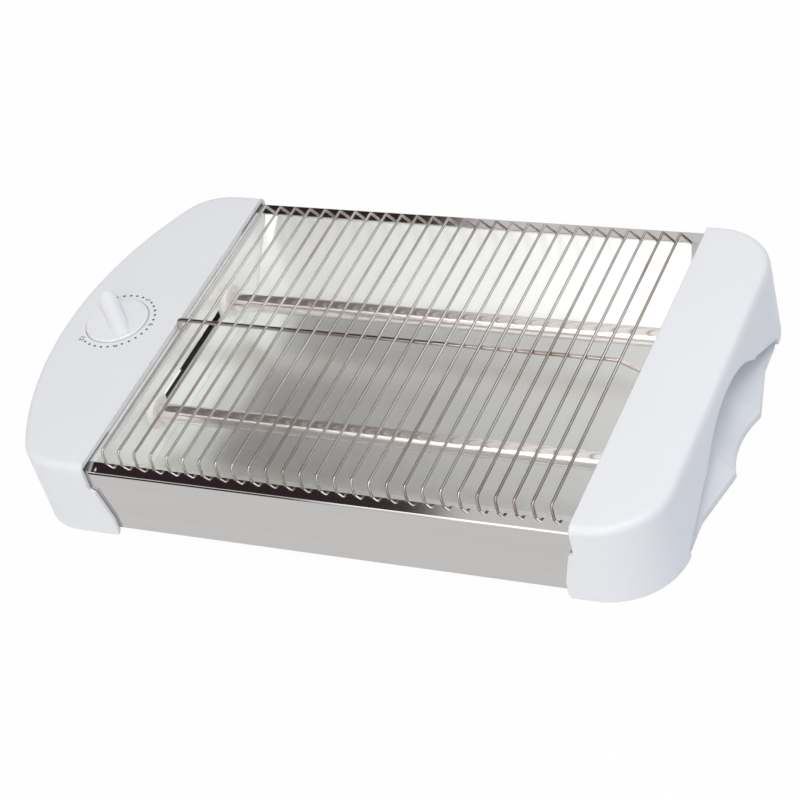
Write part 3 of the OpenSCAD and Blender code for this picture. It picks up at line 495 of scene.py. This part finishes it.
printZ = dial["topZ"] + dial["film"] / 2
steps = (len(dial["figures"]) - 1) * (dial["dots"] + 1)
turn = math.radians(dial["lastAngle"] - dial["firstAngle"]) / steps
marks = Tree("dialMarks")
markCount = marks.size("Mark Count", steps + 1)
markRing = marks.size("Ring Radius", dial["ring"] * mm)
markTurn = marks.size("Turn Per Mark", turn)
markStart = marks.size("First Angle", math.radians(dial["firstAngle"]))
dotRadius = marks.size("Dot Radius", dial["dotRadius"] * mm)
line = marks.add("GeometryNodeMeshLine", {"mode": "OFFSET"}, {"Count": markCount})
index = marks.add("GeometryNodeInputIndex")
angle = marks.add("ShaderNodeMath", {"operation": "MULTIPLY_ADD"},
                  {0: index, 1: markTurn, 2: markStart})
across = marks.add("ShaderNodeMath", {"operation": "COSINE"}, {0: angle})
along = marks.add("ShaderNodeMath", {"operation": "SINE"}, {0: angle})
offset = marks.add("ShaderNodeCombineXYZ", {}, {"X": across, "Y": along})
ringed = marks.add("ShaderNodeVectorMath", {"operation": "SCALE"}, {0: offset, "Scale": markRing})
centre = marks.add("ShaderNodeVectorMath", {"operation": "ADD"},
                   {0: ringed, 1: (dial["x"] * mm, dial["y"] * mm, printZ * mm)})
placed = marks.add("GeometryNodeSetPosition", {}, {"Geometry": line, "Position": centre})
rest = marks.add("ShaderNodeMath", {"operation": "MODULO"}, {0: index, 1: dial["dots"] + 1.0})
isFigure = marks.add("ShaderNodeMath", {"operation": "LESS_THAN"}, {0: rest, 1: 0.5})
dotsOnly = marks.add("GeometryNodeDeleteGeometry", {"domain": "POINT"},
                     {"Geometry": placed, "Selection": isFigure})
disc = marks.add("GeometryNodeMeshCylinder", {"fill_type": "NGON"},
                 {"Vertices": dial["dotSides"], "Radius": dotRadius, "Depth": dial["film"] * mm})
dotted = marks.add("GeometryNodeInstanceOnPoints", {}, {"Points": dotsOnly, "Instance": disc})
marks.finish(dotted, dialInk)
dialDots = marks.grow(linked("dialDots", bpy.data.meshes.new("dialDots")))
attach(dialDots, "case")


def figureMesh(text):                       # text lies flat, its top towards +X
    curve = bpy.data.curves.new("figure" + text, "FONT")
    curve.body = text
    curve.size = dial["figureSize"] * mm
    curve.align_x = "CENTER"
    curve.align_y = "CENTER"
    curve.extrude = dial["film"] / 2 * mm
    curve.offset = dial["stroke"] * mm
    holder = linked("figureHolder", curve)
    seen = holder.evaluated_get(bpy.context.evaluated_depsgraph_get())
    mesh = bpy.data.meshes.new_from_object(seen)
    bpy.data.objects.remove(holder)
    return mesh


figures = bmesh.new()
for number, text in enumerate(dial["figures"]):
    at = math.radians(dial["firstAngle"]) + turn * number * (dial["dots"] + 1)
    spot = Vector((dial["x"] + dial["ring"] * math.cos(at),
                   dial["y"] + dial["ring"] * math.sin(at), printZ))
    mesh = figureMesh(text)
    mesh.transform(Matrix.Translation(spot * mm) @ Matrix.Rotation(-math.pi / 2, 4, "Z"))
    figures.from_mesh(mesh)
    bpy.data.meshes.remove(mesh)
bmesh.ops.remove_doubles(figures, verts=figures.verts, dist=0.001 * mm)
bmesh.ops.recalc_face_normals(figures, faces=figures.faces)
mesh = bpy.data.meshes.new("dialFigures")
figures.to_mesh(mesh)
figures.free()
mesh.materials.append(dialInk)
dialFigures = linked("dialFigures", mesh)
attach(dialFigures, "case")
print("dial printed:", len(dial["figures"]), "figures")


# studio: pale floor, big soft lamps, in metres; camera where the photograph was taken, in millimetres
studio = {"floorSize": 6.0, "floorColour": (0.86, 0.86, 0.86), "floorSpeck": (0.88, 0.88, 0.88),
          "floorLift": 0.97, "white": (1, 1, 1),
          "sky": (0.53, 0.53, 0.535), "rightSky": (0.10, 0.18, 0.34),
          "rightFade": (0.05, 0.65), "heightFade": (0.75, 0.35),
          "cardX": -2.0, "cardCentre": (-0.108, 0.045), "cardRadius": 4.67,
          "cardArcs": [(0, 126), (145, 180)], "lowCard": [(1.5, 2.4), (3.2, 1.5)], "lowHeight": 1.1,
          "cardColour": (0.035, 0.024, 0.027), "cardWeave": (0.05, 0.035, 0.04),
          "camera": (521.5, -782.2, 785.0), "lens": 103.5, "sensor": 36, "nearest": 0.05,
          "right": (0.8995, 0.3741, -0.2259), "up": (-0.0933, 0.6695, 0.7370)}
lamps = {
    "frontSoftbox": {"place": (-0.17, -2.0, 1.25), "aim": (0, 0, 0.03),
                     "size": (1.9, 2.2), "power": 15.5},
    "topSoftbox": {"place": (0.45, -0.35, 1.5), "aim": (0.05, 0, 0.03),
                   "size": (0.8, 0.8), "power": 9.5},
    "rearSoftbox": {"place": (0.75, 1.25, 1.2), "aim": (0, 0, 0.03),
                    "size": (0.5, 0.4), "power": 2},
}


def raysSeen(f):                            # 1 for rays from the camera, off metal or through glass
    kinds = [f.add("ShaderNodeLightPath", output="Is " + kind + " Ray")
             for kind in ("Camera", "Glossy", "Transmission")]
    return (kinds[0] + kinds[1] + kinds[2]).between(0, 1)


f = newFinish("paleFloor")
speckle = f.noise(f.place(), 90, 3)
paint = f.add("ShaderNodeBsdfDiffuse", {},
              {"Color": f.colours(speckle, studio["floorColour"], studio["floorSpeck"])})
glow = f.add("ShaderNodeEmission", {}, {"Color": studio["white"], "Strength": 1.0})
f.show(f.add("ShaderNodeMixShader", {}, {0: studio["floorLift"] * raysSeen(f), 1: paint, 2: glow}))
floorMesh = bpy.data.meshes.new("floor")
half = studio["floorSize"] / 2
floorCorners = [(-half, -half, 0), (half, -half, 0), (half, half, 0), (-half, half, 0)]
floorMesh.from_pydata(floorCorners, [], [(0, 1, 2, 3)])
floorMesh.materials.append(f.owner)
linked("floor", floorMesh)

# dark cards, two fans of a round one on the left and a low one at the back on the right; only the
# polished metal and the tubes show them
f = newFinish("darkCard")
weave = f.noise(f.place(), 40, 2)
cloth = f.colours(weave, studio["cardColour"], studio["cardWeave"])
f.show(f.add("ShaderNodeEmission", {}, {"Color": cloth}))
middle = Vector((studio["cardX"], *studio["cardCentre"]))
rim, fans = [middle], []
for first, last in studio["cardArcs"]:
    turns = [math.radians(a) for a in range(first, last + 1)]
    fans.append((0, *range(len(rim), len(rim) + len(turns))))
    rim += [middle + studio["cardRadius"] * Vector((0, math.cos(a), math.sin(a))) for a in turns]
low = [(x, y, z) for z in (0, studio["lowHeight"]) for x, y in studio["lowCard"]]
for name, corners, faces in (("darkCard", rim, fans), ("lowCard", low, [(0, 1, 3, 2)])):
    cardMesh = bpy.data.meshes.new(name)
    cardMesh.from_pydata(corners, [], faces)
    cardMesh.materials.append(f.owner)
    card = linked(name, cardMesh)
    card.visible_camera = card.visible_diffuse = card.visible_shadow = False

world = bpy.data.worlds.new("studioSky")
bpy.context.scene.world = world
f = Finish(world)
ray = f.add("ShaderNodeTexCoord", output="Generated")
rayX, rayZ = (f.add("ShaderNodeSeparateXYZ", {}, {"Vector": ray}, axis) for axis in "XZ")
lowRight = rayX.between(*studio["rightFade"]) * rayZ.between(*studio["heightFade"])
sky = f.colours(lowRight, studio["sky"], studio["rightSky"])
shown = f.colours(raysSeen(f), sky, studio["white"])
f.show(f.add("ShaderNodeBackground", {}, {"Color": shown, "Strength": 1.0}))

for name, lamp in lamps.items():
    light = bpy.data.lights.new(name, "AREA")
    light.shape = "RECTANGLE"
    light.size, light.size_y = lamp["size"]
    light.energy = lamp["power"]
    stand = linked(name, light)
    stand.location = lamp["place"]
    aim = Vector(lamp["aim"]) - Vector(lamp["place"])
    stand.rotation_euler = aim.to_track_quat("-Z", "Y").to_euler()

camera = bpy.data.cameras.new("camera")
camera.lens = studio["lens"]
camera.sensor_width = studio["sensor"]
camera.clip_start = studio["nearest"]
eye = linked("camera", camera)
right = Vector(studio["right"]).normalized()
up = Vector(studio["up"])
back = right.cross(up).normalized()
up = back.cross(right)
turned = Matrix((right, up, back)).transposed().to_4x4()
eye.matrix_world = Matrix.Translation(Vector(studio["camera"]) * mm) @ turned
bpy.context.scene.camera = eye
bpy.context.scene.view_settings.view_transform = "Standard"
print("studio ready")
